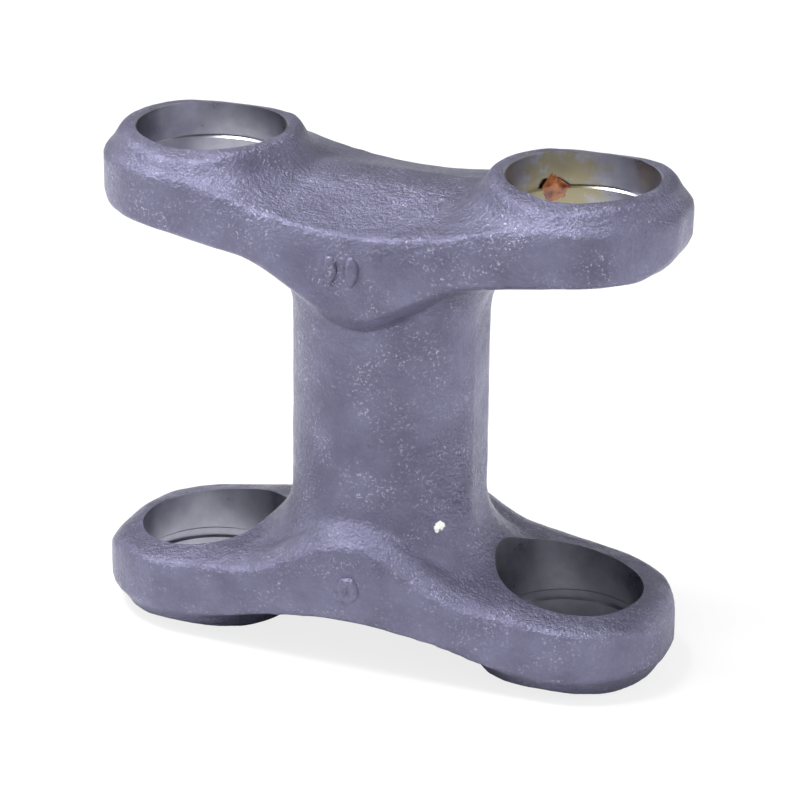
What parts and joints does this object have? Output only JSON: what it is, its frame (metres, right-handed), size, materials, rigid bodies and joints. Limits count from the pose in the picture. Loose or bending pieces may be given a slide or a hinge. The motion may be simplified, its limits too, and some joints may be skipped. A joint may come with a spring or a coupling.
{
  "type": "double universal joint centre yoke",
  "caption": "Forged H-shaped centre yoke of a double universal joint: bored eyes with snap-ring grooves on either end of a short round column.",
  "frame": {"origin": "centre of the yoke: midway between the four bores, on the parting plane of the forging", "axes": "+X along the links, +Y along the die draw, +Z along the bore axes"},
  "size_m": [0.1196, 0.0474, 0.1038],
  "materials": {
    "forged_steel": "as-forged dark scale, with bright machined bores"
  },
  "bodies": {
    "root": {"yoke": "forged_steel"}
  },
  "joints": []
}
